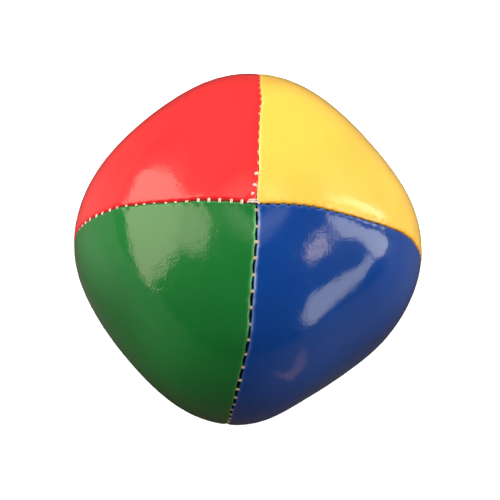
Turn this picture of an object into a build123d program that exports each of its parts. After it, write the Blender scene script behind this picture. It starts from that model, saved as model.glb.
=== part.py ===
from build123d import *
import math
import os

import numpy as np

# Four-panel stitched juggling ball, resting on its lower pole. Millimetres, +Z up.
# The origin is the middle of the flat patch that it rests on, where the four lower panel tips meet.
# The four seams lie in the planes X = 0 and Y = 0.

# The stuffed bag
BAG_RADIUS = 32.5  # mean radius of the widest ring
BAG_HEIGHT = 60.0  # resting height: the grain lets the bag sit a little flat
GIRTH_HEIGHT = 31.0  # height of the widest ring
REST_RADIUS = 15.5  # where the wall turns into the flat underside
PRESS = 0.15  # how far the underside is pressed flat
CROWN_POWER = 2.35  # 2 would be an elliptical crown, more is fuller at the shoulder

# Departures from a round ring, as cosine and sine shares of the radius, by number of lobes
LOBES = {1: (0.019, 0.065), 3: (0.0075, 0.0073), 4: (0.0486, -0.0056)}

# Leatherette cover
LEATHER = 1.0  # thickness
ALLOWANCE = 4.5  # depth of the turned-in seam allowances under the surface
ALLOWANCE_START = 2.6  # the allowances are trimmed off this close to the poles
TIP_RADIUS = 0.7  # the hole that the four panel tips leave at a pole
PANEL_GAP = 0.05  # each panel stands off its two seam planes by this much

# Lockstitch
THREAD_RADIUS = 0.18
RUNG_RADIUS = 0.15  # the thread is pulled thinner where it passes through the leatherette
BEND_RADIUS = 0.25  # where a run of thread dives into its hole
HOLE_RADIUS = 0.18
STITCH_DEPTH = 1.6  # of the stitch line under the surface
STITCH_START = 3.4  # distance of the first stitch from a pole
RUN_SIDE = PANEL_GAP + LEATHER + BEND_RADIUS + 0.02  # from the seam plane to a run of thread
LOCK_SIDE = 0.02  # needle and bobbin thread stop this close to the seam plane

# Each seam's turn about +Z in degrees and its stitch pitch, wider where the seam is stretched open
SEAMS = {
    "yellow_blue": (0, 1.9),
    "red_yellow": (90, 2.35),
    "green_red": (180, 2.15),
    "blue_green": (270, 3.1),
}
PANELS = {"yellow": 0, "red": 90, "green": 180, "blue": 270}

# Hand-sewn closing of the filling gap, a ladder stitch next to the top pole
CLOSING_SEAM = "red_yellow"
CLOSING_LENGTH = 14.0
CLOSING_PITCH = 2.2

# Pole tacks: two strands over the pole and a knot under it
TACK_RADIUS = 0.22
TACK_HALF_SPAN = 1.7
TACK_STRAND_SIDE = 0.27
TACK_LEG = 1.6  # length of the strands' legs through the cover
TACK_CLEARANCE = 0.03
TACK_PROUD = 0.1  # the top tack's strands lie on the surface, their middle this far above it
TACK_SUNK = 0.23  # the bottom tack's strands are pressed in, their middle this far under the surface
KNOT_RADIUS = 0.75
KNOT_DEPTH = 2.6

# Grain filling
FILL_DEPTH = LEATHER + 0.4  # under the bag's outer surface
SLOT_HALF_WIDTH = RUN_SIDE + BEND_RADIUS + 0.1  # room for two allowances and their threads
SLOT_DEPTH = ALLOWANCE + 0.3
POCKET_RADIUS = 2.9  # free of grain around the pole knots
FILL_TOP_RADIUS = 1.5

# The round profile is followed by a station: 0 top pole, 1 girth, 2 edge of the underside, 3 lower pole
GIRTH, UNDERSIDE, LOWER_POLE = 1, 2, 3
PROFILE_POINTS = 9  # from pole to girth, and again from girth to underside
PANEL_SECTIONS = 7
RING_POINTS = 24
LINE_STEPS = 900
QUARTER = math.pi / 2


def profile(station):
    """Radius and height of the round profile at a station."""
    if station > UNDERSIDE:
        return REST_RADIUS * (LOWER_POLE - station), -PRESS
    if station > GIRTH:
        angle = (station - GIRTH) * QUARTER
        radius = REST_RADIUS + (BAG_RADIUS - REST_RADIUS) * math.cos(angle)
        return radius, GIRTH_HEIGHT - (GIRTH_HEIGHT + PRESS) * math.sin(angle)
    angle = station * QUARTER
    power = 2 / CROWN_POWER
    radius = BAG_RADIUS * math.sin(angle) ** power
    return radius, GIRTH_HEIGHT + (BAG_HEIGHT - GIRTH_HEIGHT) * max(math.cos(angle), 0) ** power


def crown_station(radius):
    """Station on the crown where the profile has this radius."""
    return math.asin((radius / BAG_RADIUS) ** (CROWN_POWER / 2)) / QUARTER


def ring_factor(turn, radius):
    """The bag's radius at a turn about +Z, as a share of the round profile's."""
    factor = 1.0
    for lobes, (cosine, sine) in LOBES.items():
        weight = 1.0 if lobes == 1 else (radius / BAG_RADIUS) ** 2
        factor += weight * (cosine * math.cos(lobes * turn) + sine * math.sin(lobes * turn))
    return factor


def under_surface(turn, station, depth):
    """Radius and height of the point at a depth under the outer surface, square to the profile."""
    nearby = (station, max(station - 1e-3, 0), min(station + 1e-3, LOWER_POLE))
    here, before, after = ((r * ring_factor(turn, r), z) for r, z in map(profile, nearby))
    along = Vector(after[0] - before[0], after[1] - before[1]).normalized()
    return here[0] + depth * along.Y, here[1] - depth * along.X


def place(turn, spot, side=0.0):
    """The 3-D point of a (radius, height) spot in the half plane at a turn, moved out of it by side."""
    radius, height = spot
    x = radius * math.cos(turn) - side * math.sin(turn)
    y = radius * math.sin(turn) + side * math.cos(turn)
    return Vector(x, y, height)


def wall_stations(pole_radius):
    """Stations from a radius beside the top pole to the edge of the underside."""
    crown = np.linspace(crown_station(pole_radius), GIRTH, PROFILE_POINTS)
    flank = np.linspace(GIRTH, UNDERSIDE, PROFILE_POINTS)
    return [*crown, *flank[1:]]


def strip_outline(turn, pole_radius, outer_depth, inner_depth):
    """Closed outline in the half plane at a turn: the bag's wall between two depths, clear of both poles."""
    stations = wall_stations(pole_radius)
    outer = [place(turn, under_surface(turn, station, outer_depth)) for station in stations]
    inner = [place(turn, under_surface(turn, station, inner_depth)) for station in stations]
    outer_foot = place(turn, (pole_radius, outer_depth - PRESS))
    inner_foot = place(turn, (pole_radius, inner_depth - PRESS))
    return Wire(
        [
            Edge.make_spline(outer),
            Edge.make_line(outer[-1], outer_foot),
            Edge.make_line(outer_foot, inner_foot),
            Edge.make_line(inner_foot, inner[-1]),
            Edge.make_spline(inner[::-1]),
            Edge.make_line(inner[0], outer[0]),
        ]
    )


def seam_strip(turn, pole_radius, outer_depth, inner_depth, near_side, far_side):
    """Flat strip parallel to a seam plane, between two distances from it."""
    face = Face(strip_outline(turn, pole_radius, outer_depth, inner_depth))
    across = place(turn, (0, 0), 1.0)
    return Solid.extrude(face.moved(Location(across * near_side)), across * (far_side - near_side))


def seam_spots(turn, start, end, pitch):
    """Evenly spaced stitch spots down a seam; start and end are distances from the top and lower poles."""
    stations = np.linspace(0, LOWER_POLE, LINE_STEPS)
    line = np.array([under_surface(turn, station, STITCH_DEPTH) for station in stations])
    travelled = np.concatenate([[0.0], np.cumsum(np.hypot(*np.diff(line, axis=0).T))])
    length = travelled[-1] - start - end
    goals = np.linspace(start, start + length, round(length / pitch) + 1)
    return [(np.interp(goal, travelled, line[:, 0]), np.interp(goal, travelled, line[:, 1])) for goal in goals]


def machine_spots(name):
    """Stitch spots of a seam's lockstitch; the closing seam's starts below the filling gap."""
    degrees, pitch = SEAMS[name]
    start = CLOSING_LENGTH + CLOSING_PITCH if name == CLOSING_SEAM else STITCH_START
    return seam_spots(math.radians(degrees), start, STITCH_START, pitch)


def closing_spots():
    """Crossing spots of the ladder stitch in the filling gap."""
    turn = math.radians(SEAMS[CLOSING_SEAM][0])
    whole = seam_spots(turn, STITCH_START, STITCH_START, CLOSING_PITCH)
    return whole[: round((CLOSING_LENGTH - STITCH_START) / CLOSING_PITCH) + 1]


def tube(start, end, radius):
    """Straight round bar between two points."""
    return Solid.make_cylinder(radius, (end - start).length, Plane(origin=start, z_dir=end - start))


def ball(centre, radius):
    """Ball about a point."""
    return Solid.make_sphere(radius).moved(Location(centre))


def joined(pieces):
    """One solid out of touching pieces."""
    return pieces[0].fuse(*pieces[1:])


def bends(turn, spots, side):
    """Balls where the thread turns into its stitch holes, with their poles clear of its runs."""
    centres = [place(turn, spot, side * RUN_SIDE) for spot in spots]
    across = place(turn, (0, 0), side)
    balls = []
    for before, centre, after in zip([centres[0], *centres], centres, [*centres[1:], centres[-1]]):
        square = across.cross(after - before)
        balls.append(Solid.make_sphere(BEND_RADIUS, Plane(origin=centre, x_dir=square, z_dir=across)))
    return balls


def stitch_holes(name):
    """Bars that cut a seam's stitch holes through both allowances."""
    turn = math.radians(SEAMS[name][0])
    spots = machine_spots(name)
    if name == CLOSING_SEAM:
        spots += closing_spots()
    return [tube(place(turn, s, -RUN_SIDE), place(turn, s, RUN_SIDE), HOLE_RADIUS) for s in spots]


def lockstitch_thread(name, side):
    """One thread of a lockstitch: runs on one face of the seam, dipping to the seam plane at each stitch."""
    turn = math.radians(SEAMS[name][0])
    spots = machine_spots(name)
    corners = [place(turn, spot, side * RUN_SIDE) for spot in spots]
    locks = [place(turn, spot, side * LOCK_SIDE) for spot in spots]
    pieces = [tube(a, b, THREAD_RADIUS) for a, b in zip(corners, corners[1:])]
    pieces += [tube(corner, lock, RUNG_RADIUS) for corner, lock in zip(corners, locks)]
    return joined(pieces + bends(turn, spots, side))


def closing_thread():
    """Ladder stitch: the thread runs inside one fold for a stitch, crosses the seam, and runs in the other."""
    turn = math.radians(SEAMS[CLOSING_SEAM][0])
    spots = closing_spots()
    pieces = []
    side, last = RUN_SIDE, None
    for spot in spots:
        near, far = place(turn, spot, side), place(turn, spot, -side)
        pieces.append(tube(near, far, RUNG_RADIUS))
        if last:
            pieces.append(tube(last, near, THREAD_RADIUS))
        side, last = -side, far
    return joined(pieces + bends(turn, spots, 1) + bends(turn, spots, -1))


def pole_tack(surface_height, inward, bar_height, clearance=0.0):
    """Two strands over a pole, along X, with legs through the cover to a knot; inward is -1 at the top pole."""
    radius = TACK_RADIUS + clearance
    knot = Vector(0, 0, surface_height + inward * KNOT_DEPTH)
    leg_height = surface_height + inward * TACK_LEG
    pieces = [ball(knot, KNOT_RADIUS)]
    for side in (-TACK_STRAND_SIDE, TACK_STRAND_SIDE):
        crossing = [Vector(x, side, bar_height) for x in (-TACK_HALF_SPAN, TACK_HALF_SPAN)]
        feet = [Vector(end.X, side, leg_height) for end in crossing]
        pieces.append(tube(*crossing, radius))
        for end, foot in zip(crossing, feet):
            pieces += [tube(end, foot, radius), tube(foot, knot, radius)]
            pieces += [ball(end, radius + 0.01), ball(foot, radius + 0.01)]
    return joined(pieces)


def top_tack(clearance=0.0):
    """Tack over the top pole, lying on the surface."""
    return pole_tack(BAG_HEIGHT, -1, BAG_HEIGHT + TACK_PROUD, clearance)


def bottom_tack(clearance=0.0):
    """Tack over the lower pole, pressed into the cover."""
    return pole_tack(0.0, 1, TACK_SUNK, clearance)


def cover_panel(name):
    """A quarter of the cover: curved wall, flat underside and the two turned-in allowances."""
    start = math.radians(PANELS[name])
    turns = [start + QUARTER * i / (PANEL_SECTIONS - 1) for i in range(PANEL_SECTIONS)]
    wall = Solid.make_loft([strip_outline(turn, TIP_RADIUS, 0.0, LEATHER) for turn in turns])
    wall = wall.split(Plane.XY, keep=Keep.TOP)
    first = seam_strip(turns[0], ALLOWANCE_START, LEATHER / 2, ALLOWANCE, 0.0, LEATHER)
    second = seam_strip(turns[-1], ALLOWANCE_START, LEATHER / 2, ALLOWANCE, 0.0, -LEATHER)
    stand_off = place(turns[0], (PANEL_GAP, 0.0), PANEL_GAP)
    panel = joined([wall, first, second]).moved(Location(stand_off))
    holes = [hole for seam in SEAMS if name in seam.split("_") for hole in stitch_holes(seam)]
    return panel.cut(*holes, top_tack(TACK_CLEARANCE), bottom_tack(TACK_CLEARANCE))


def fill_ring(station):
    """Level closed outline of the grain at a station."""
    before, here, after = (profile(s) for s in (station - 1e-3, station, station + 1e-3))
    along = Vector(after[0] - before[0], after[1] - before[1]).normalized()
    radius, height = here[0] + FILL_DEPTH * along.Y, here[1] - FILL_DEPTH * along.X
    turns = [2 * math.pi * i / RING_POINTS for i in range(RING_POINTS)]
    ring = [place(turn, (radius * ring_factor(turn, radius), height)) for turn in turns]
    return Wire([Edge.make_spline(ring, periodic=True)])


def millet_fill():
    """The grain as one block, slotted for the seam allowances and pocketed for the pole knots."""
    block = Solid.make_loft([fill_ring(station) for station in wall_stations(FILL_TOP_RADIUS)])
    half = SLOT_HALF_WIDTH
    slots = [
        seam_strip(math.radians(degrees), FILL_TOP_RADIUS, 0.0, SLOT_DEPTH, -half, half)
        for degrees, _ in SEAMS.values()
    ]
    low_pocket = Solid.make_cylinder(POCKET_RADIUS, SLOT_DEPTH, Plane.XY)
    high_pocket = low_pocket.moved(Location((0, 0, BAG_HEIGHT - SLOT_DEPTH)))
    return block.cut(*slots, low_pocket, high_pocket)


def export_all():
    """Writes one STEP file per piece."""
    os.makedirs("parts", exist_ok=True)
    pieces = {f"panel_{name}": cover_panel(name) for name in PANELS}
    for name in SEAMS:
        pieces[f"needle_thread_{name}"] = lockstitch_thread(name, 1)
        pieces[f"bobbin_thread_{name}"] = lockstitch_thread(name, -1)
    pieces["closing_thread"] = closing_thread()
    pieces["pole_tack_top"] = top_tack()
    pieces["pole_tack_bottom"] = bottom_tack()
    pieces["millet_fill"] = millet_fill()
    for name, piece in pieces.items():
        export_step(piece, f"parts/{name}.step")


export_all()
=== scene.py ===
"""Looks of the four-panel juggling ball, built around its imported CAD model.

The ball's shapes are worked out in millimetres, in the frame of the CAD part, and turned into metres in
make_mesh. The stage, lights and camera are in metres.
"""
from collections import namedtuple
import math

import bpy
import numpy as np
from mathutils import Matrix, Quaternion, Vector


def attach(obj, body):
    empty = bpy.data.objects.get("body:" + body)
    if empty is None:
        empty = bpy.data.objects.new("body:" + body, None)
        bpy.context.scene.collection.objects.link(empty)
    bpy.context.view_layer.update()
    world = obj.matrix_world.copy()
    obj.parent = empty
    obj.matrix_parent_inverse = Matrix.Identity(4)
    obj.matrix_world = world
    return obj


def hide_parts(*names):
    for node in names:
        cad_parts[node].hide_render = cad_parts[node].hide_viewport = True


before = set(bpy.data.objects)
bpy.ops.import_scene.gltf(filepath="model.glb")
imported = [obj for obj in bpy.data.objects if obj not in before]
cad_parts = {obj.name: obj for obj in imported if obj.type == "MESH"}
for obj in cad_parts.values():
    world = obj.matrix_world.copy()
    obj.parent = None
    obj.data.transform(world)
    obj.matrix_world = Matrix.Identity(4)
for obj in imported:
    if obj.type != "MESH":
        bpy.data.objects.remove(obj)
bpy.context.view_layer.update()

MM = 0.001
QUARTER = math.pi / 2

# The stuffed bag, as in the CAD part
BAG_RADIUS = 32.5
BAG_HEIGHT = 60.0
GIRTH_HEIGHT = 31.0
REST_RADIUS = 15.5
PRESS = 0.15
CROWN_POWER = 2.35
LOBES = {1: (0.019, 0.065), 3: (0.0075, 0.0073), 4: (0.0486, -0.0056)}
GIRTH, UNDERSIDE, LOWER_POLE = 1, 2, 3
STATIONS = np.linspace(0, LOWER_POLE, 3001)

# Leatherette
THICKNESS = 0.8
HEM_DEPTH = 4.4
HEM_START, HEM_TRIM = 2.5, 4.0  # the allowances widen from this distance from the axis, over this much
HEM_LEAST = 0.02  # share of their depth that they never lose
TIP_RADIUS = 0.22  # hole left at a pole
NEAR_WIDTH = 3.6  # strip beside a fold that gets closer columns
NEAR_SPREAD = 1.3  # above 1, they are closest at the fold
INNER_HEIGHT = 0.48  # least height of the inner skin above what the ball rests on
SINE_LIMIT = 0.7  # keeps a turned-in edge from going round the axis at the poles
# Towards a panel's tip, the most that each of these may be
FOLD_SHARE = 0.22  # fold radius, as a share of the panel's width
NEAR_SHARE = 0.12  # strip beside a fold, as a share of the panel's width
LEATHER_SHARE = 0.75  # thickness, as a share of the fold's radius
GAP_SHARE = 0.25  # half gap, as a share of the distance from the axis
DRIFT_SHARE = 0.1  # wander of a seam, as a share of the distance from the axis
ROW_SPACING = 0.27
FLANGE_COLUMNS = 4
FOLD_COLUMNS = 10
NEAR_COLUMNS = 11
INTERIOR_COLUMNS = 56

# Relief
STITCH_PULL = 0.09
STITCH_REACH = 0.8
PUCKER = 0.045
PUCKER_REACH = 2.6
PUCKER_WAVELENGTH = 4.2
PUCKER_STRETCH = 4  # puckers are this much longer across a seam than along it
PUCKER_START = 6  # distance from the top pole where puckers reach their full height
POLE_DIMPLE = 0.45
POLE_DIMPLE_RADIUS = 2.4
OPEN_START, OPEN_WIDTH = 4, 8  # dents deepen from this distance from the axis, over this much
DENT_WAVELENGTH, DENT_SEED = 19.0, 11
DENTS = {"yellow": 0.07, "red": 0.06, "green": 0.06, "blue": 0.1}
GRAIN_WAVELENGTH, GRAIN_SEED, GRAIN_WAVES = 3.0, 12, 40
GRAIN = 0.005

# Each panel's turn about +Z in degrees, where its first seam is. The second is a quarter turn further.
PANELS = {"yellow": 0, "red": 90, "green": 180, "blue": 270}
# Each seam's turn about +Z in degrees, its first stitch's distance from the top pole, and its stitch pitch
SEAMS = {
    "yellow_blue": (0, 1.4, 1.9),
    "red_yellow": (90, 8.4, 2.35),
    "green_red": (180, 2.6, 2.15),
    "blue_green": (270, 1.4, 3.15),
}
SEAM_END = 3.4  # distance of the last stitch from the lower pole
STITCH_JITTER = 0.12
# Distance from the top pole, half the gap between the folds there, the thread's depth in it, and how far
# the seam has wandered from its plane
SEAM_STATES = {
    "yellow_blue": [
        (0, 0.05, 0.75, 0.0),
        (4, 0.05, 0.75, 0.3),
        (12, 0.05, 0.6, 0.45),
        (13.5, 0.05, 0.2, 0.4),
        (15, 0.04, 0.6, 0.35),
        (22, 0.03, 0.8, 0.25),
        (30, 0.03, 0.8, 0.7),
        (38, 0.03, 0.8, 0.8),
        (60, 0.05, 0.7, 0.0),
    ],
    "red_yellow": [
        (0, 0.03, 0.12, 0.0),
        (8, 0.02, 0.3, 0.15),
        (14, 0.02, 0.42, 0.25),
        (24, 0.02, 0.46, 0.0),
        (60, 0.02, 0.46, 0.0),
    ],
    "green_red": [
        (0, 0.03, 0.12, 0.0),
        (8, 0.03, 0.14, 0.2),
        (11, 0.03, 0.2, 0.1),
        (14, 0.02, 0.34, 0.35),
        (18, 0.02, 0.4, 0.45),
        (24, 0.02, 0.42, 0.25),
        (28, 0.02, 0.36, -0.15),
        (36, 0.03, 0.2, 0.0),
        (46, 0.02, 0.4, 0.2),
        (70, 0.03, 0.3, 0.0),
    ],
    "blue_green": [
        (0, 0.1, 0.26, 0.0),
        (3, 0.13, 0.26, 0.35),
        (17, 0.15, 0.26, 0.45),
        (27, 0.17, 0.3, 0.6),
        (37, 0.16, 0.31, 0.05),
        (49, 0.12, 0.31, -0.45),
        (70, 0.08, 0.4, 0.0),
    ],
}
SMALLEST_GAP = 0.02
GAP_NOISE = 0.15
GAP_WAVELENGTH = 6
# How much wider each gap gets between stitches, and how far its folds swing sideways from stitch to stitch
SWINGS = {
    "yellow_blue": (0.12, 0.32),
    "red_yellow": (0.01, 0.15),
    "green_red": (0.03, 0.15),
    "blue_green": (0.04, 0.12),
}
SWING_FADE = (12, 20)  # the swings get smaller between these distances from the top pole
SWING_LEFT = 0.4  # share of them that is left beyond
WANDER = 0.07
WANDER_WAVELENGTH = 9
WANDER_START = 5  # distance from a pole where a seam swings and wanders in full
# Each fold's radius, and how pale (above 0) or how deep (below 0) the colour of its edge is
# The pale edge is worn colour and a painted highlight on the fold; the deep edge is painted shade where the
# fold turns away from the light.
FOLDS = {
    ("yellow_blue", "yellow"): (0.42, -0.8),
    ("yellow_blue", "blue"): (0.42, 0.3),
    ("red_yellow", "red"): (0.3, -0.35),
    ("red_yellow", "yellow"): (0.3, 0.7),
    ("green_red", "red"): (0.8, -0.6),
    ("green_red", "green"): (0.45, 0.4),
    ("blue_green", "green"): (0.5, 1.0),
    ("blue_green", "blue"): (0.5, 0.8),
}
PALE_WIDTH, DEEP_WIDTH = 0.3, 0.55
PALE_FADE = (14, 30)  # the pale edges fade between these distances from the top pole
PALE_LEFT = 0.2  # share of their strength that is left beyond
TINT_START = 3  # distance from the axis where the edges have their full tint

# Threads. Runs go along under the cover from stitch to stitch.
THREAD_RADII = {"yellow_blue": 0.16, "red_yellow": 0.16, "green_red": 0.15, "blue_green": 0.2}
STRAND_SPACING = 0.15  # between a strand's rings of points
PLY_TWIST = 2.6  # radians per millimetre
LOOP_HALF_WIDTH = 0.13  # the needle thread's two strands in a stitch, either side of its middle
LOOP_RISE = 0.16  # the strands bulge up this much in the middle of the gap
LOOP_REACH = 0.4  # the strands go this far into a fold
LOOP_TIP = 0.2  # where the loop turns back, further in
RUN_DEPTH = 1.75
RUN_SIDE = 1.4  # distance of a run from the seam
RUN_END = 0.75  # distance along the seam from a run's end to its stitch
RUN_RISE = 0.2  # the thread rises this much from there to the stitch
BOBBIN_DROP = 0.3  # depth under the needle thread at a stitch
BOBBIN_REACH = 0.45
BOBBIN_RISE = 0.1
BOBBIN_BENDS = (0.1, 0.3, 0.7)  # distances along the seam from a stitch to the thread's bends
CLOSING_RADIUS = 0.3
# Distance of each hand stitch from the top pole, and of its middle from the seam, towards the red panel
CLOSING_STITCHES = [(1.9, 0.8), (3.6, 0.45), (6.0, 0.35)]
CLOSING_HALF_WIDTH = 0.12
CLOSING_BULGE = 0.1
# Depth of a hand stitch where its strand goes over, goes in and runs on, and half its span there
CLOSING_DEPTHS = (0.1, 0.7, 1.7)
CLOSING_SPANS = (0.22, 0.35, 1.5)
CLOSING_RUN_END = 0.5
TACK_SIDES = 12
# Each tack's strand height, way into the ball, middle, half span and strand radius
TOP_TACK = (BAG_HEIGHT - 0.12, -1, (-0.55, 0.3), 1.1, 0.24)
LOW_TACK = (0.24, 1, (0.0, 0.0), 1.5, 0.2)
# Each of a tack's strands: its side of the middle, how far it bows sideways, and how much shorter it is
TACK_STRANDS = [(-0.19, 0, 0), (0.19, 0.05, 0.15)]

# Each leatherette's colour, its pale colour for worn edges with a painted highlight on the folds, and its
# deeper colour for painted shade where a fold turns away from the light
LEATHERETTES = {
    "yellow": ((0.95, 0.56, 0.078), (1.0, 0.88, 0.35), (0.95, 0.4, 0.03)),
    "red": ((0.86, 0.034, 0.034), (0.95, 0.2, 0.15), (0.78, 0.006, 0.01)),
    "green": ((0.009, 0.15, 0.025), (0.16, 0.5, 0.18), (0.006, 0.09, 0.02)),
    "blue": ((0.003, 0.045, 0.235), (0.25, 0.4, 0.65), (0.004, 0.03, 0.15)),
}
CREAM = (0.72, 0.6, 0.48)
TAN = (0.55, 0.4, 0.22)
PALE = (0.74, 0.56, 0.5)
PINKISH = (0.62, 0.47, 0.4)

# Camera: angles in degrees, its lens in millimetres and the rest in metres
CAMERA_AZIMUTH, CAMERA_ELEVATION, CAMERA_ROLL = -10.1, 68.8, 14.3
CAMERA_DISTANCE = 0.7
CAMERA_LENS = 256.7
AIM_RIGHT, AIM_UP = 0.00143, 0.00155  # from the middle of the ball to the point that the camera looks at

# Light. The bright panes and the strip show only in reflections.
SOFT_LIGHT = 0.32
SOFT_LIGHT_LEAN = (-0.05, -0.28, 0.0)
DAYLIGHT = (1.0, 0.78, 0.62)
PLAIN = (1.0, 0.97, 0.85)
CARD_DISTANCE = 1.3
CARD_CENTRE = Vector((0, 0, 0.045))
LEAST_SOFTNESS = 0.001
# Strength, colour, softness of the edges, and corners as azimuth and elevation of each bright pane
CARDS = {
    "window": (
        (4.3, DAYLIGHT, 0.05),
        [(-58, -3), (-72, 5), (-83, 9), (-105, 11), (-127, 11), (-133, 22)],
        [(-138, 40), (-134, 50), (-112, 60), (-85, 58), (-66, 42), (-60, 22)],
    ),
    "window_top": (
        (3.7, DAYLIGHT, 0.35),
        [(-134, 49), (-144, 62), (-128, 74), (-80, 73), (-62, 64), (-66, 46), (-85, 57), (-112, 59)],
    ),
    "ceiling": (
        (1.3, PLAIN, 0.8),
        [(136, 62), (160, 60), (180, 57), (-150, 60), (-130, 70), (-100, 80), (100, 80), (125, 72)],
    ),
    "far_window": (
        (6.6, DAYLIGHT, 0.5),
        [(104, 60), (95, 61), (83, 58), (75, 52), (73, 47), (79, 47), (88, 50), (96, 52), (103, 56)],
    ),
    "doorway": (
        (5.0, PLAIN, 0.0),
        [(122, 50), (115, 42), (110, 31), (107, 19), (106, 5), (101, -1), (93, 3), (87, 11)],
        [(89, 22), (95, 28), (95, 36), (92, 42), (94, 48), (106, 53)],
    ),
    "doorway_low": (
        (3.8, PLAIN, 0.0),
        [(86, 12), (77, 14), (68, 12), (62, 9), (57, 5), (51, 2), (48, 8)],
        [(47, 16), (52, 25), (59, 29), (65, 28), (70, 24), (77, 21), (86, 22)],
    ),
    "back_window": (
        (5.5, PLAIN, 0.3),
        [(133, 53), (125, 40), (118, 26), (113, 10), (110, -1), (117, 0), (123, 16), (128, 32)],
    ),
}
# Strength, colour and softness of a warm strip on the table, and its outline in millimetres
WARM_STRIP = (0.8, (1.0, 0.55, 0.45), 0.0)
STRIP_CORNERS = [
    *[(58, -120), (44, -76), (42, -58), (56, -62), (108, -107), (200, -212)],
    *[(84, -100), (60, -80), (56, -92)],
]
# Azimuth, elevation, distance and size in metres, and power of each soft lamp
LAMPS = {"left_light": (-112, 28, 1.4, 1.6, 33), "right_light": (110, 29, 1.4, 1.6, 27)}
# Radius and height in metres of the floor's rings, which curve up into a backdrop, and of the table's
FLOOR_RINGS = [(2.6, -0.0002), (3.2, 0.05), (3.7, 0.3), (4.0, 0.9), (4.1, 2.5)]
TABLE_RINGS = [(2.6, -0.001)]
DISC_SIDES = 96


# ---------------------------------------------------------------- the bag's shape


def profile(station):
    """Radius and height of the round profile. Station 0 is the top pole and 3 the lower pole."""
    crown = np.clip(station, 0, GIRTH) * QUARTER
    flank = (np.clip(station, GIRTH, UNDERSIDE) - GIRTH) * QUARTER
    power = 2 / CROWN_POWER
    crown_radius = BAG_RADIUS * np.sin(crown) ** power
    crown_height = GIRTH_HEIGHT + (BAG_HEIGHT - GIRTH_HEIGHT) * np.maximum(np.cos(crown), 0) ** power
    flank_radius = REST_RADIUS + (BAG_RADIUS - REST_RADIUS) * np.cos(flank)
    flank_height = GIRTH_HEIGHT - (GIRTH_HEIGHT + PRESS) * np.sin(flank)
    under_radius = REST_RADIUS * (LOWER_POLE - station)
    places = [station <= GIRTH, station <= UNDERSIDE]
    radius = np.select(places, [crown_radius, flank_radius], under_radius)
    height = np.select(places, [crown_height, flank_height], -PRESS)
    return radius, height


def ring_factor(turn, radius):
    """The bag's radius at a turn about +Z, as a share of the round profile's."""
    factor = 1.0
    for lobes, (cosine, sine) in LOBES.items():
        weight = 1.0 if lobes == 1 else (radius / BAG_RADIUS) ** 2
        factor = factor + weight * (cosine * np.cos(lobes * turn) + sine * np.sin(lobes * turn))
    return factor


def wall(turn, station, depth):
    """Radius and height of points at a depth under the bag's surface, square to its profile."""
    nearby = (station, np.maximum(station - 1e-3, 0), np.minimum(station + 1e-3, LOWER_POLE))
    spots = []
    for place in nearby:
        radius, height = profile(place)
        spots.append((radius * ring_factor(turn, radius), height + 0 * turn))
    here, before, after = spots
    along_radius, along_height = after[0] - before[0], after[1] - before[1]
    length = np.hypot(along_radius, along_height)
    return here[0] + depth * along_height / length, here[1] - depth * along_radius / length


def to_points(turn, radius, height, across):
    """3-D points in the half plane at a turn, moved out of it by across."""
    x = radius * np.cos(turn) - across * np.sin(turn)
    y = radius * np.sin(turn) + across * np.cos(turn)
    return np.stack(np.broadcast_arrays(x, y, height), -1)


def distances_along(radius, height):
    """Distance of each point of a profile from its first."""
    return np.concatenate([[0.0], np.cumsum(np.hypot(np.diff(radius), np.diff(height)))])


def waves(points, wavelength, seed, count=26):
    """Smooth random field of about unit size: a sum of plane waves."""
    random = np.random.default_rng(seed)
    directions = random.normal(size=(count, 3))
    directions /= np.linalg.norm(directions, axis=1, keepdims=True)
    lengths = wavelength * random.uniform(0.75, 1.6, count)
    phases = random.uniform(0, 2 * math.pi, count)
    total = np.zeros(points.shape[:-1])
    for direction, length, phase in zip(directions, lengths, phases):
        total += np.cos(points @ (direction * 2 * math.pi / length) + phase)
    return total / math.sqrt(count / 2)


def bag_relief(points, dents):
    """Height that dents, the grain inside and the gathered poles add to the surface."""
    radius = np.hypot(points[..., 0], points[..., 1])
    open_wall = np.clip((radius - OPEN_START) / OPEN_WIDTH, 0, 1)
    dimple = -POLE_DIMPLE * np.exp(-((radius / POLE_DIMPLE_RADIUS) ** 2))
    dented = dents * open_wall * waves(points, DENT_WAVELENGTH, DENT_SEED)
    grain = GRAIN * open_wall * waves(points, GRAIN_WAVELENGTH, GRAIN_SEED, GRAIN_WAVES)
    return dimple + dented + grain


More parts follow.
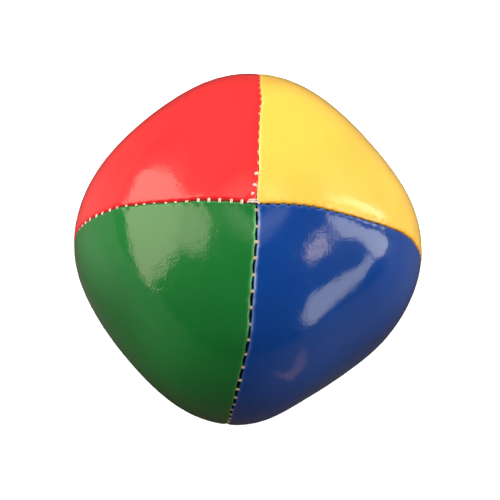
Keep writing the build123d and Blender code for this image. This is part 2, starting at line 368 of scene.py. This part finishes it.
class Seam:
    """One seam: how far it runs from the top pole, where its stitches are and how open it is."""

    def __init__(self, name):
        degrees, first, pitch = SEAMS[name]
        self.name = name
        self.turn = math.radians(degrees)
        self.seed = degrees + 5
        self.travelled = distances_along(*wall(self.turn, STATIONS, 0.0))
        end = self.travelled[-1] - SEAM_END
        count = round((end - first) / pitch) + 1
        random = np.random.default_rng(self.seed)
        self.machine_stitches = np.linspace(first, end, count) + random.normal(size=count) * STITCH_JITTER
        by_hand = [travel for travel, _ in CLOSING_STITCHES] if name == "red_yellow" else []
        self.stitches = np.concatenate([by_hand, self.machine_stitches])

    def travel(self, station):
        return np.interp(station, STATIONS, self.travelled)

    def tightness(self, travel):
        """1 at a stitch, 0 midway between two."""
        count = len(self.stitches)
        phase = np.interp(travel, self.stitches, np.arange(count), -0.5, count - 0.5)
        return 0.5 + 0.5 * np.cos(2 * math.pi * phase)

    def state(self, travel, column):
        """A column of the seam's states at distances from the top pole."""
        table = np.array(SEAM_STATES[self.name])
        return np.interp(travel, table[:, 0], table[:, column])

    def noise(self, travel, wavelength, seed):
        return waves(np.stack(np.broadcast_arrays(travel, 0.0, 0.0), -1), wavelength, self.seed + seed)

    def half_gap(self, travel):
        notch = SWINGS[self.name][0] * (1 - 2 * self.tightness(travel))
        uneven = 1 + GAP_NOISE * self.noise(travel, GAP_WAVELENGTH, 0)
        return np.maximum(self.state(travel, 1) * uneven + notch, SMALLEST_GAP)

    def thread_depth(self, travel):
        return self.state(travel, 2)

    def drift(self, travel):
        """Sideways distance of the seam from its plane, towards larger turns."""
        from_end = self.travelled[-1] - travel
        fade = np.clip(travel / WANDER_START, 0, 1) * np.clip(from_end / WANDER_START, 0, 1)
        swing = SWINGS[self.name][1] * np.interp(travel, SWING_FADE, (1, SWING_LEFT))
        swing *= self.tightness(travel) - 0.5
        return fade * (swing + WANDER * self.noise(travel, WANDER_WAVELENGTH, 3)) + self.state(travel, 3)

    def relief(self, travel, distance):
        """Height that the seam adds to the surface at a distance from its plane."""
        distance = np.abs(distance)
        pull = -STITCH_PULL * self.tightness(travel) * np.exp(-((distance / STITCH_REACH) ** 2))
        spot = np.stack(np.broadcast_arrays(travel, distance / PUCKER_STRETCH, 0.0), -1)
        fade = np.exp(-distance / PUCKER_REACH) * np.minimum(travel / PUCKER_START, 1)
        return pull + PUCKER * waves(spot, PUCKER_WAVELENGTH, self.seed + 1) * fade

    def points(self, spots):
        """Points from distances down the seam, depths under the relief and distances across the seam."""
        travel, depth, across = np.array(spots).T
        station = np.interp(travel, self.travelled, STATIONS)
        surface = to_points(self.turn, *wall(self.turn, station, 0.0), 0.0)
        lift = bag_relief(surface, 0.0) + self.relief(travel, 0.0)
        return to_points(self.turn, *wall(self.turn, station, depth - lift), across + self.drift(travel))


SEAM_DATA = {name: Seam(name) for name in SEAMS}
SEAM_AT = {degrees: SEAM_DATA[name] for name, (degrees, *_) in SEAMS.items()}


# ---------------------------------------------------------------- meshes


def add_object(name, data):
    obj = bpy.data.objects.new(name, data)
    bpy.context.scene.collection.objects.link(obj)
    return obj


def add_values(mesh, name, values):
    """A number at each point, for a material to read."""
    layer = mesh.attributes.new(name, "FLOAT", "POINT")
    layer.data.foreach_set("value", np.asarray(values, dtype=np.float32).ravel())


def make_mesh(name, points, faces):
    """Smooth-shaded object from points in millimetres."""
    mesh = bpy.data.meshes.new(name)
    mesh.from_pydata((points.reshape(-1, 3) * MM).tolist(), [], faces)
    mesh.validate()
    mesh.shade_smooth()
    return add_object(name, mesh)


def ring_faces(rows, columns):
    """Quads between rows of closed rings."""
    row, column = np.meshgrid(np.arange(rows - 1), np.arange(columns), indexing="ij")
    here = row * columns + column
    after = row * columns + (column + 1) % columns
    return np.stack([here, after, after + columns, here + columns], -1).reshape(-1, 4)


# ---------------------------------------------------------------- cover panels


# One side of a panel, row by row: how far down its seam each row is, how far the seam has drifted into the
# panel, depths and turns away from the seam plane of the turned-in edge, and the leather's thickness
Edge = namedtuple("Edge", "seam travel drift depth away leather")


def panel_rows():
    """Evenly spaced stations from the hole at the top pole to the one at the lower pole."""
    travelled = distances_along(*profile(STATIONS))
    span = np.linspace(TIP_RADIUS, travelled[-1] - TIP_RADIUS, round(travelled[-1] / ROW_SPACING))
    return np.interp(span, travelled, STATIONS)


def edge_section(gap, fold, leather, hem, near, skin):
    """Distances from the seam plane and depths of a turned-in edge, from its hem up and over its fold."""
    gap, fold, leather, hem, near = (value[:, None] for value in (gap, fold, leather, hem, near))
    flange = np.linspace(1, 0, FLANGE_COLUMNS, endpoint=False)
    angle = np.linspace(0, QUARTER, FOLD_COLUMNS)
    beside = np.linspace(0, 1, NEAR_COLUMNS + 1)[1:] ** NEAR_SPREAD
    bend = fold - skin * leather
    strip = near * beside
    distance = [gap + skin * leather + 0 * flange, gap + fold - bend * np.cos(angle), gap + fold + strip]
    depth = [fold + (hem - fold) * flange, fold - bend * np.sin(angle), skin * leather + 0 * strip]
    return np.concatenate(distance, axis=1), np.concatenate(depth, axis=1)


def panel_edge(colour, seam, side, stations, skin):
    """The side of a panel at a seam. side is 1 where the panel lies towards larger turns, or else -1."""
    travel = seam.travel(stations)
    radius, _ = wall(seam.turn, stations, 0.0)
    width = radius * QUARTER
    fold = np.minimum(FOLDS[seam.name, colour][0], FOLD_SHARE * width)
    leather = np.minimum(THICKNESS, LEATHER_SHARE * fold)
    gap = np.minimum(seam.half_gap(travel), GAP_SHARE * radius)
    hem = fold + (HEM_DEPTH - fold) * np.clip((radius - HEM_START) / HEM_TRIM, HEM_LEAST, 1)
    near = np.minimum(NEAR_WIDTH, NEAR_SHARE * width)
    distance, depth = edge_section(gap, fold, leather, hem, near, skin)
    deep_radius, _ = wall(seam.turn, stations[:, None], depth)
    drift = side * np.clip(seam.drift(travel), -DRIFT_SHARE * radius, DRIFT_SHARE * radius)
    sine = np.clip((distance + drift[:, None]) / deep_radius, -SINE_LIMIT, SINE_LIMIT)
    away = np.arcsin(sine)
    return Edge(seam, travel, drift, depth, away, leather)


def edge_tint(edge, colour, distance):
    """How pale (worn colour and a painted highlight) or deep (painted shade) a panel's colour is at
    distances from one of its seams.
    """
    fold, strength = FOLDS[edge.seam.name, colour]
    tightness = edge.seam.tightness(edge.travel)[:, None]
    beyond = distance - edge.seam.half_gap(edge.travel)[:, None] - 0.5 * fold
    beyond /= PALE_WIDTH if strength > 0 else DEEP_WIDTH * (0.8 + 0.4 * tightness)
    fade = np.interp(edge.travel, PALE_FADE, (1, PALE_LEFT))[:, None] if strength > 0 else 1
    return strength * fade * np.exp(-(beyond**2))


def panel_skin(colour, stations, skin):
    """Points of a panel's outer (0) or inner (1) skin, and how pale (wear and painted highlight) or deep
    (painted shade) its colour is there along the folds.
    """
    degrees = PANELS[colour]
    start = math.radians(degrees)
    end = start + QUARTER
    first = panel_edge(colour, SEAM_AT[degrees], 1, stations, skin)
    second = panel_edge(colour, SEAM_AT[(degrees + 90) % 360], -1, stations, skin)
    share = np.linspace(0, 1, INTERIOR_COLUMNS + 2)[1:-1]
    turn_first, turn_second = start + first.away, end - second.away[:, ::-1]
    turn_between = turn_first[:, -1:] * (1 - share) + turn_second[:, :1] * share
    turn = np.concatenate([turn_first, turn_between, turn_second], axis=1)
    leather = first.leather[:, None] * (1 - share) + second.leather[:, None] * share
    depth = np.concatenate([first.depth, skin * leather, second.depth[:, ::-1]], axis=1)
    station = stations[:, None]
    radius, height = wall(turn, station, 0.0)
    lift = bag_relief(to_points(turn, radius, height, 0.0), DENTS[colour])
    tint = np.zeros(turn.shape)
    for edge, away in ((first, turn - start), (second, end - turn)):
        distance = radius * np.sin(np.clip(away, -QUARTER, QUARTER)) - edge.drift[:, None]
        lift = lift + edge.seam.relief(edge.travel[:, None], distance)
        # Pale edges are wear and a painted highlight, deep edges painted shade, along each fold
        tint += edge_tint(edge, colour, distance) * np.clip(radius / TINT_START, 0, 1)
    points = to_points(turn, *wall(turn, station, depth - lift), 0.0)
    points[..., 2] = np.maximum(points[..., 2], skin * INNER_HEIGHT)
    return points, tint


def make_panel(colour):
    """A quarter of the cover: outer and inner skin, folds, turned-in allowances and closed ends."""
    stations = panel_rows()
    outer, tint = panel_skin(colour, stations, 0)
    inner, _ = panel_skin(colour, stations, 1)
    rows, columns = outer.shape[:2]
    around = 2 * columns
    j = np.arange(columns - 1)
    top_end = np.stack([j, around - 1 - j, around - 2 - j, j + 1], -1)
    low_end = np.stack([j, j + 1, around - 2 - j, around - 1 - j], -1) + (rows - 1) * around
    points = np.concatenate([outer, inner[:, ::-1]], axis=1)
    faces = np.concatenate([ring_faces(rows, around), top_end, low_end])
    obj = make_mesh(f"cover_panel_{colour}", points, faces.tolist())
    # The edge tint carries the painted fold highlights, wear and painted shade to the material
    add_values(obj.data, "edge_tint", np.concatenate([tint, 0 * tint], axis=1))
    inside = np.tile(np.arange(around) >= columns - 1, rows - 1)
    slots = np.zeros(len(obj.data.polygons), dtype=np.int32)
    slots[: len(inside)] = inside
    obj.data.polygons.foreach_set("material_index", slots)
    return obj


# ---------------------------------------------------------------- threads


def rounded(points, times=2):
    """Corner cutting of an open line."""
    for _ in range(times):
        before, after = points[:-1], points[1:]
        cut = np.stack([0.75 * before + 0.25 * after, 0.25 * before + 0.75 * after], 1).reshape(-1, 3)
        points = np.concatenate([points[:1], cut, points[-1:]])
    return points


def resampled(points, spacing):
    lengths = np.linalg.norm(np.diff(points, axis=0), axis=1)
    travelled = np.concatenate([[0.0], np.cumsum(lengths)])
    goals = np.linspace(0, travelled[-1], max(int(travelled[-1] / spacing), 2))
    return np.stack([np.interp(goals, travelled, points[:, axis]) for axis in range(3)], -1)


def twisted_strand(line, radius, sides):
    """Points and faces of one two-ply thread along a line, closed at both ends."""
    line = resampled(rounded(np.asarray(line)), STRAND_SPACING)
    ahead = np.gradient(line, axis=0)
    ahead /= np.linalg.norm(ahead, axis=1, keepdims=True)
    side = np.cross(ahead[0], (0.31, 0.17, 0.93))
    angle = np.linspace(0, 2 * math.pi, sides, endpoint=False)
    rings = []
    for step, (spot, forward) in enumerate(zip(line, ahead)):
        side = side - forward * (side @ forward)
        side /= np.linalg.norm(side)
        up = np.cross(forward, side)
        lobed = radius * (0.86 + 0.17 * np.cos(2 * (angle - PLY_TWIST * STRAND_SPACING * step)))
        rings.append(spot + np.outer(lobed * np.cos(angle), side) + np.outer(lobed * np.sin(angle), up))
    tips = [rings[0].mean(axis=0), rings[-1].mean(axis=0)]
    count = len(rings) * sides
    j = np.arange(sides)
    after = (j + 1) % sides
    start_cap = np.stack([np.full(sides, count), after, j], -1)
    end_cap = np.stack([np.full(sides, count + 1), count - sides + j, count - sides + after], -1)
    faces = [*ring_faces(len(rings), sides).tolist(), *start_cap.tolist(), *end_cap.tolist()]
    return np.concatenate([*rings, tips]), faces


def make_thread(name, lines, radius, sides=10):
    """One object of two-ply threads that follow lines."""
    points, faces = [], []
    for line in lines:
        start = sum(len(strand) for strand in points)
        strand, strand_faces = twisted_strand(line, radius, sides)
        points.append(strand)
        faces += [[start + corner for corner in face] for face in strand_faces]
    return make_mesh(name, np.concatenate(points), faces)


def needle_line(seam):
    """Runs behind one fold; at each stitch a loop crosses the gap and comes back."""
    spots = []
    for stitch in seam.machine_stitches:
        depth = seam.thread_depth(stitch)
        reach = seam.half_gap(stitch) + LOOP_REACH
        near, far = stitch - LOOP_HALF_WIDTH, stitch + LOOP_HALF_WIDTH
        spots += [(stitch - RUN_END, RUN_DEPTH, RUN_SIDE), (near, RUN_DEPTH - RUN_RISE, RUN_SIDE)]
        spots += [(near, depth, reach), (near, depth - LOOP_RISE, 0), (near, depth, -reach)]
        spots.append((stitch, depth, -reach - LOOP_TIP))
        spots += [(far, depth, -reach), (far, depth - LOOP_RISE, 0), (far, depth, reach)]
        spots += [(far, RUN_DEPTH - RUN_RISE, RUN_SIDE), (stitch + RUN_END, RUN_DEPTH, RUN_SIDE)]
    return seam.points(spots)


def bobbin_line(seam):
    """Runs behind the other fold and catches each loop."""
    spots = []
    catch, bend, run = BOBBIN_BENDS
    for stitch in seam.machine_stitches:
        depth = seam.thread_depth(stitch) + BOBBIN_DROP
        reach = seam.half_gap(stitch) + BOBBIN_REACH
        bend_depth = RUN_DEPTH - BOBBIN_RISE
        spots += [(stitch - run, RUN_DEPTH, -RUN_SIDE), (stitch - bend, bend_depth, -RUN_SIDE)]
        spots += [(stitch - catch, depth, -reach), (stitch + catch, depth, -reach)]
        spots += [(stitch + bend, bend_depth, -RUN_SIDE), (stitch + run, RUN_DEPTH, -RUN_SIDE)]
    return seam.points(spots)


def closing_line(seam):
    """Ladder stitch: crosses over the seam and runs on under the cover to the next crossing."""
    spots = []
    over, entry, run = zip(CLOSING_DEPTHS, CLOSING_SPANS)
    side = 1
    for stitch, middle in CLOSING_STITCHES:
        near, far = stitch - CLOSING_HALF_WIDTH, stitch + CLOSING_HALF_WIDTH
        spots.append((stitch - CLOSING_RUN_END, run[0], side * run[1]))
        spots += [(near, depth, middle + side * span) for depth, span in (entry, over)]
        spots.append((stitch, -CLOSING_BULGE, middle))
        spots += [(far, depth, middle - side * span) for depth, span in (over, entry)]
        spots.append((stitch + CLOSING_RUN_END, run[0], -side * run[1]))
        side = -side
    return seam.points(spots)


def tack_lines(height, inward, middle, half_span):
    """Strands over a pole along X, each with legs down through the cover."""
    lines = []
    for side, bow, shorter in TACK_STRANDS:
        reach = half_span - shorter
        # Along and across from the strand's middle, and down into the ball
        spots = [
            (0.3 - reach, 0, 1.9),
            (-reach, 0, 0.75),
            (0.15 - reach, -0.02, 0.12),
            (0, bow, 0),
            (reach - 0.15, 0.03, 0.12),
            (reach, 0, 0.75),
            (reach - 0.3, 0, 1.9),
        ]
        x_middle, y_middle = middle[0], middle[1] + side
        lines.append([(x_middle + x, y_middle + y, height + inward * drop) for x, y, drop in spots])
    return lines


# ---------------------------------------------------------------- materials


class Nodes:
    """Short-hand for building one material's nodes."""

    def __init__(self, name):
        self.material = bpy.data.materials.new(name)
        self.material.use_nodes = True
        self.tree = self.material.node_tree
        self.shader = self.tree.nodes["Principled BSDF"]
        self.place = self.add("ShaderNodeTexCoord").outputs["Object"]

    def add(self, kind, inputs=None, **settings):
        node = self.tree.nodes.new(kind)
        for key, value in settings.items():
            setattr(node, key, value)
        for key, value in (inputs or {}).items():
            self.feed(node.inputs[key], value)
        return node

    def feed(self, socket, value):
        if isinstance(value, bpy.types.NodeSocket):
            self.tree.links.new(value, socket)
        else:
            socket.default_value = value

    def noise(self, scale, detail=2.0, roughness=0.5):
        inputs = {"Vector": self.place, "Scale": scale, "Detail": detail, "Roughness": roughness}
        return self.add("ShaderNodeTexNoise", inputs).outputs["Fac"]

    def cells(self, scale):
        return self.add("ShaderNodeTexVoronoi", {"Vector": self.place, "Scale": scale}).outputs["Distance"]

    def ramp(self, value, low, high, start=0.3, end=0.7):
        """Goes from low to high as the value goes from start to end."""
        inputs = {"Value": value, "From Min": start, "From Max": end, "To Min": low, "To Max": high}
        return self.add("ShaderNodeMapRange", inputs).outputs["Result"]

    def maths(self, operation, a, b):
        return self.add("ShaderNodeMath", {0: a, 1: b}, operation=operation).outputs[0]

    def mixed(self, share, a, b):
        """Colour between a and b. Sockets 0, 6, 7 and 2 are the Mix node's factor, colours and result."""
        return self.add("ShaderNodeMix", {0: share, 6: a, 7: b}, data_type="RGBA").outputs[2]

    def bump(self, height, distance, strength=1.0, **coarser):
        inputs = {"Height": height, "Distance": distance, "Strength": strength, **coarser}
        return self.add("ShaderNodeBump", inputs).outputs["Normal"]

    def attribute(self, name):
        return self.add("ShaderNodeAttribute", attribute_name=name).outputs["Fac"]

    def surface(self, **inputs):
        for key, value in inputs.items():
            self.feed(self.shader.inputs[key.replace("_", " ")], value)
        return self.material


def shade(colour, factor):
    return (*[min(channel * factor, 1.0) for channel in colour], 1.0)


def leatherette(name, colour, pale, fold_shade):
    """Glossy coated leatherette, finely grained and uneven; along folds worn pale with a painted highlight,
    or darker with painted shade.
    """
    nodes = Nodes(name)
    blotch = nodes.ramp(nodes.noise(75, 3), 0, 1, 0.35, 0.65)
    base = nodes.mixed(blotch, shade(colour, 0.94), shade(colour, 1.05))
    tint = nodes.attribute("edge_tint")
    scuffs = nodes.ramp(nodes.noise(600, 4), 0.3, 0.75, 0.4, 0.6)
    # Pale along folds: wear and a painted highlight
    worn_and_highlit = nodes.mixed(nodes.maths("MULTIPLY", nodes.ramp(tint, 0, 1, 0, 1), scuffs), base, (*pale, 1.0))
    # Deeper along folds: painted shade where a fold turns away from the light
    fold_shaded = nodes.mixed(nodes.ramp(tint, 0.8, 0, -1, 0), worn_and_highlit, (*fold_shade, 1.0))
    roughness = nodes.ramp(nodes.noise(260, 3), 0.3, 0.42)
    grain = nodes.maths("ADD", nodes.cells(2600), nodes.maths("MULTIPLY", nodes.noise(1300, 3), 0.8))
    fine = nodes.bump(grain, 0.00002, 0.4)
    dimples = nodes.bump(nodes.noise(650, 2), 0.00002, Normal=fine)
    return nodes.surface(
        Base_Color=fold_shaded,
        Roughness=roughness,
        Normal=dimples,
        Coat_Normal=dimples,
        Specular_IOR_Level=0.06,
        Coat_Weight=1.0,
        Coat_Roughness=0.11,
        Coat_IOR=1.5,
    )


def knit_backing():
    nodes = Nodes("knit_backing")
    loops = nodes.cells(1500)
    colour = nodes.mixed(nodes.ramp(loops, 0, 1, 0.1, 0.7), (0.62, 0.6, 0.55, 1), (0.35, 0.34, 0.31, 1))
    return nodes.surface(Base_Color=colour, Roughness=0.9, Normal=nodes.bump(loops, 0.0001, 0.8))


def spun_thread(name, colour):
    """Spun polyester: pale fibres, and colour that varies along the thread."""
    nodes = Nodes(name)
    fibres = nodes.noise(5200, 4, 0.6)
    blotch = nodes.ramp(nodes.noise(420, 2), 0, 1, 0.35, 0.65)
    base = nodes.mixed(blotch, shade(colour, 0.82), shade(colour, 1.12))
    return nodes.surface(
        Base_Color=nodes.mixed(nodes.ramp(fibres, 0, 0.4, 0.4, 0.7), base, shade(colour, 1.3)),
        Roughness=0.75,
        Normal=nodes.bump(fibres, 0.00004, 0.6),
        Sheen_Weight=0.25,
        Sheen_Roughness=0.4,
    )


def millet():
    """Round grains, packed."""
    nodes = Nodes("millet")
    grains = nodes.cells(480)
    tint = nodes.ramp(nodes.noise(190, 2), 0, 1)
    pale = nodes.mixed(tint, (0.62, 0.42, 0.14, 1), (0.85, 0.68, 0.34, 1))
    # Dark brown where the grains meet: painted shade in the crevices between them
    colour = nodes.mixed(nodes.ramp(grains, 0, 1, 0.45, 0.8), pale, (0.16, 0.09, 0.03, 1))
    return nodes.surface(Base_Color=colour, Roughness=0.55, Normal=nodes.bump(grains, -0.0009, 1.0))


def matt(nodes, colour, glow_colour, glow):
    """Matt surface of the stage, which also shines by itself."""
    return nodes.surface(
        Base_Color=colour,
        Roughness=0.9,
        Specular_IOR_Level=0.0,
        Emission_Color=(*glow_colour, 1),
        Emission_Strength=glow,
    )


# ---------------------------------------------------------------- stage, light and camera


def direction(azimuth, elevation):
    """Unit vector; azimuth 0 points to -Y and 90 to +X, as the views count it."""
    a, e = math.radians(azimuth), math.radians(elevation)
    return Vector((math.sin(a) * math.cos(e), -math.cos(a) * math.cos(e), math.sin(e)))


def face_from(obj, towards, roll=0.0):
    """Turns a camera or lamp to look against a direction, rolled by degrees."""
    obj.rotation_mode = "QUATERNION"
    obj.rotation_quaternion = towards.to_track_quat("Z", "Y") @ Quaternion((0, 0, 1), math.radians(roll))


def make_camera():
    back = direction(CAMERA_AZIMUTH, CAMERA_ELEVATION)
    data = bpy.data.cameras.new("camera")
    data.lens = CAMERA_LENS
    data.sensor_width = 36
    camera = add_object("camera", data)
    face_from(camera, back, CAMERA_ROLL)
    aim = camera.rotation_quaternion @ Vector((AIM_RIGHT, AIM_UP, 0))
    camera.location = Vector((0, 0, BAG_HEIGHT * MM / 2)) + aim + back * CAMERA_DISTANCE
    bpy.context.scene.camera = camera


def add_lamp(name, azimuth, elevation, distance, size, power):
    """Soft light that doesn't show in reflections."""
    data = bpy.data.lights.new(name, "AREA")
    data.shape = "DISK"
    data.size = size
    data.energy = power
    lamp = add_object(name, data)
    lamp.location = direction(azimuth, elevation) * distance
    face_from(lamp, direction(azimuth, elevation))
    lamp.visible_glossy = False


def add_card(name, points, strength, colour, softness):
    """Bright pane that shows only in reflections, dimming towards its edges over a share of its width."""
    count = len(points)
    middle = sum(points, Vector()) / count
    inner = [point.lerp(middle, max(softness, LEAST_SOFTNESS)) for point in points]
    rim = [(i, (i + 1) % count, count + (i + 1) % count, count + i) for i in range(count)]
    mesh = bpy.data.meshes.new(name)
    mesh.from_pydata([*points, *inner], [], [*rim, tuple(range(count, 2 * count))])
    add_values(mesh, "light", [0.0] * count + [1.0] * count)
    nodes = Nodes(name)
    glow = nodes.maths("MULTIPLY", nodes.attribute("light"), strength)
    mesh.materials.append(matt(nodes, (0, 0, 0, 1), colour, glow))
    card = add_object(name, mesh)
    for ray in ("visible_camera", "visible_diffuse", "visible_shadow"):
        setattr(card, ray, False)


def make_lights():
    for name, settings in LAMPS.items():
        add_lamp(name, *settings)
    for name, (finish, *corners) in CARDS.items():
        points = [CARD_CENTRE + direction(*corner) * CARD_DISTANCE for corner in sum(corners, [])]
        add_card(name, points, *finish)
    add_card("warm_strip", [Vector((x, y, 1)) * MM for x, y in STRIP_CORNERS], *WARM_STRIP)


def disc(name, rings):
    """Staged disc out to the first ring, which goes on through any further ones."""
    angles = np.linspace(0, 2 * math.pi, DISC_SIDES, endpoint=False)
    points = [(radius * math.cos(a), radius * math.sin(a), z) for radius, z in rings for a in angles]
    mesh = bpy.data.meshes.new(name)
    mesh.from_pydata(points, [], [list(range(DISC_SIDES)), *ring_faces(len(rings), DISC_SIDES).tolist()])
    obj = add_object(name, mesh)
    return obj


def make_floor():
    """Pale floor that only the camera sees. In light and reflections, the table under it takes its place."""
    floor = disc("floor", FLOOR_RINGS)
    nodes = Nodes("floor")
    tint = nodes.mixed(nodes.noise(3, 2), (0.93, 0.93, 0.93, 1), (0.97, 0.97, 0.97, 1))
    floor.data.materials.append(matt(nodes, tint, (1, 1, 1), 0.6))
    for ray in ("visible_diffuse", "visible_glossy", "visible_transmission", "visible_shadow"):
        setattr(floor, ray, False)


def make_table():
    """Dark table that the camera doesn't see. Away from the ball it glows, to the left and to the right."""
    table = disc("table", TABLE_RINGS)
    table.visible_camera = False
    nodes = Nodes("table")
    tint = nodes.mixed(nodes.noise(4, 2), (0.035, 0.027, 0.022, 1), (0.05, 0.038, 0.03, 1))
    towards = nodes.add("ShaderNodeVectorMath", {0: nodes.place}, operation="NORMALIZE").outputs[0]
    to_right = nodes.add("ShaderNodeSeparateXYZ", {0: towards}).outputs["X"]
    left = nodes.maths("POWER", nodes.ramp(to_right, 0, 1, 0, -1), 5)
    sides = nodes.maths("ADD", nodes.maths("MULTIPLY", left, 0.5), nodes.ramp(to_right, 0.02, 0.22, 0, 1))
    away = nodes.add("ShaderNodeVectorMath", {0: nodes.place}, operation="LENGTH").outputs["Value"]
    glow = nodes.maths("MULTIPLY", sides, nodes.ramp(away, 0.15, 1, 0.045, 0.1))
    table.data.materials.append(matt(nodes, tint, (1, 0.95, 0.85), glow))


def make_world():
    """Soft light from all round, a little stronger from the front. It doesn't show in reflections."""
    world = bpy.data.worlds.new("soft_light")
    world.use_nodes = True
    tree = world.node_tree
    place = tree.nodes.new("ShaderNodeTexCoord")
    dot = tree.nodes.new("ShaderNodeVectorMath")
    dot.operation = "DOT_PRODUCT"
    dot.inputs[1].default_value = SOFT_LIGHT_LEAN
    strength = tree.nodes.new("ShaderNodeMath")
    strength.inputs[1].default_value = SOFT_LIGHT
    background = tree.nodes["Background"]
    background.inputs["Color"].default_value = (1, 1, 1, 1)
    tree.links.new(place.outputs["Generated"], dot.inputs[0])
    tree.links.new(dot.outputs["Value"], strength.inputs[0])
    tree.links.new(strength.outputs[0], background.inputs["Strength"])
    bpy.context.scene.world = world
    world.cycles_visibility.glossy = False


# ---------------------------------------------------------------- the ball


def finish_piece(obj, material_slot, node, *materials):
    for material in materials:
        obj.data.materials.append(material)
    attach(obj, "root")
    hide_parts(node)


def make_panels():
    backing = knit_backing()
    for colour, shades in LEATHERETTES.items():
        panel = make_panel(colour)
        skin = leatherette(f"leatherette_{colour}", *shades)
        finish_piece(panel, f"{colour}_leatherette", f"panel_{colour}", skin, backing)


def make_stitches():
    cream = spun_thread("cream_thread", CREAM)
    tan = spun_thread("tan_thread", TAN)
    for name, seam in SEAM_DATA.items():
        radius = THREAD_RADII[name]
        for kind, line in (("needle", needle_line(seam)), ("bobbin", bobbin_line(seam))):
            line[:, 2] = np.maximum(line[:, 2], radius)
            thread = make_thread(f"{kind}_stitches_{name}", [line], radius)
            finish_piece(thread, "thread", f"{kind}_thread_{name}", tan if name == "blue_green" else cream)
    closing = make_thread("closing_stitches", [closing_line(SEAM_DATA["red_yellow"])], CLOSING_RADIUS)
    finish_piece(closing, "thread", "closing_thread", spun_thread("pale_thread", PALE))


def make_tacks():
    pinkish = spun_thread("tack_thread", PINKISH)
    for name, node, tack in (
        ("top_tack", "pole_tack_top", TOP_TACK),
        ("low_tack", "pole_tack_bottom", LOW_TACK),
    ):
        *place, radius = tack
        finish_piece(make_thread(name, tack_lines(*place), radius, TACK_SIDES), "thread", node, pinkish)


def finish_fill():
    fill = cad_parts["millet_fill"]
    fill.data.materials.clear()
    fill.data.materials.append(millet())


make_camera()
make_world()
make_floor()
make_table()
make_lights()
make_panels()
make_stitches()
make_tacks()
finish_fill()
bpy.context.scene.view_settings.view_transform = "Standard"
